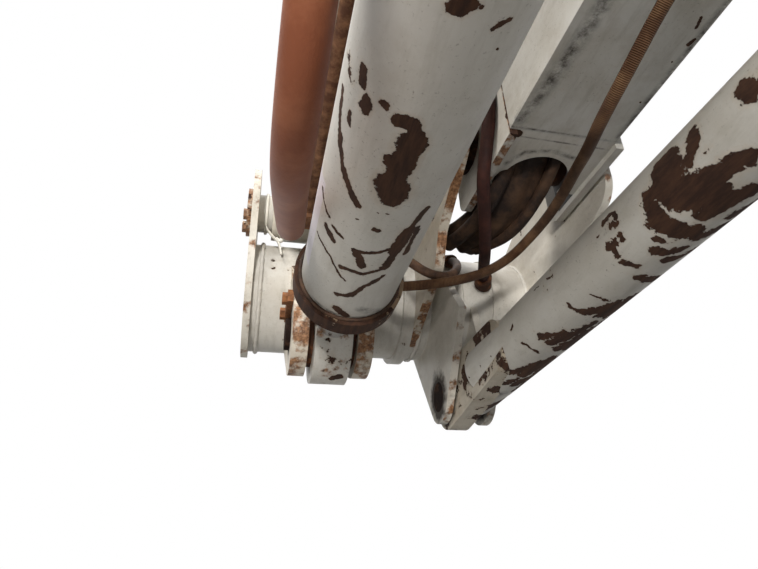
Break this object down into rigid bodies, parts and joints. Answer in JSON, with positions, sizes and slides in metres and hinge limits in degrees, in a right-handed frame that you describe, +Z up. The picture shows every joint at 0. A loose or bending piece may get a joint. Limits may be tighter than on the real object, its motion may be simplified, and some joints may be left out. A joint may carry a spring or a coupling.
{
  "type": "boom elbow of an articulating aerial lift",
  "caption": "Elbow where the two booms of an aerial lift fold side by side, with its cross tube, pivots, lift cylinder, levelling strut and hydraulic hoses.",
  "frame": {"origin": "middle of the lower boom's bottom wall at its cut end", "axes": "+Y along the lower boom towards the elbow, +X across from the upper boom to the lower boom, +Z up"},
  "size_m": [0.5736, 1.3086, 0.5489],
  "materials": {
    "white_paint": "chalky white enamel, chipped to brown primer and rust",
    "cream_boom": "cream enamel",
    "pin_steel": "dark greased steel",
    "rusty_steel": "rusted steel",
    "rod_chrome": "polished chrome plating",
    "black_rubber": "weathered black hose cover",
    "brown_rubber": "ribbed brown hose cover",
    "red_rubber": "faded red hose cover",
    "orange_hose": "orange non-conductive hose cover"
  },
  "bodies": {
    "lower_boom": {"lower_boom_tube": "white_paint", "lower_boom_end": "white_paint", "pivot_tube": "rusty_steel", "hose_hanger": "rusty_steel", "hose_sleeve": "black_rubber", "boom_ports": "rusty_steel", "brown_hose_boom": "brown_rubber", "red_hose_boom": "red_rubber"},
    "elbow": {"cross_tube": "white_paint", "tube_collar": "white_paint", "tube_doubler": "white_paint", "inner_plate_right": "white_paint", "inner_plate_left": "white_paint", "outer_flange": "white_paint", "pivot_pin": "pin_steel", "pivot_spacer": "pin_steel", "upper_shaft": "pin_steel", "shaft_keeper": "white_paint", "shaft_spacer": "white_paint", "cylinder_lug_left": "white_paint", "cylinder_lug_right": "white_paint", "rod_eye_pin": "pin_steel", "pin_keeper": "rusty_steel", "eye_washer_left": "rusty_steel", "eye_washer_right": "rusty_steel", "strut_lug_left": "white_paint", "strut_lug_right": "white_paint", "strut_pin": "pin_steel", "elbow_ports": "rusty_steel", "brown_hose_elbow": "brown_rubber", "red_hose_elbow": "red_rubber", "dark_hose": "black_rubber"},
    "strut": {"strut_eye": "white_paint", "strut_tube": "white_paint"},
    "upper_boom": {"upper_boom_tube": "cream_boom", "upper_boom_hub": "white_paint", "hydraulic_line": "brown_rubber", "loop_hose": "orange_hose", "loop_ports": "rusty_steel"},
    "rod": {"lift_rod": "rod_chrome", "rod_eye": "white_paint"},
    "barrel": {"barrel": "white_paint", "gland_ring": "rusty_steel", "barrel_base_eye": "white_paint"}
  },
  "joints": [
    {"name": "elbow_pivot", "type": "hinge", "parent": "lower_boom", "child": "elbow", "pos_m": [0, 0.768, 0.09], "axis": [-1, 0, 0], "range_deg": [0, 80]},
    {"name": "strut_pivot", "type": "hinge", "parent": "elbow", "child": "strut", "pos_m": [-0.0495, 0.999, -0.273], "axis": [1, 0, 0], "range_deg": [0, 80]},
    {"name": "upper_boom_pivot", "type": "hinge", "parent": "elbow", "child": "upper_boom", "pos_m": [-0.2905, 1.02, 0.087], "axis": [-1, 0, 0], "range_deg": [0, 80]},
    {"name": "cylinder_swing", "type": "hinge", "parent": "elbow", "child": "rod", "pos_m": [-0.2905, 0.942, -0.1985], "axis": [-1, 0, 0], "range_deg": [0, 73.3]},
    {"name": "cylinder_stroke", "type": "slide", "parent": "rod", "child": "barrel", "axis": [0, -1, 0], "range_m": [0, 0.356]}
  ],
  "couplings": [
    {"joint": "strut_pivot", "follows": "elbow_pivot", "ratio": 1},
    {"joint": "cylinder_swing", "follows": "upper_boom_pivot", "ratio": 0.916},
    {"joint": "cylinder_stroke", "follows": "upper_boom_pivot", "m_per_rad": 0.2543}
  ]
}
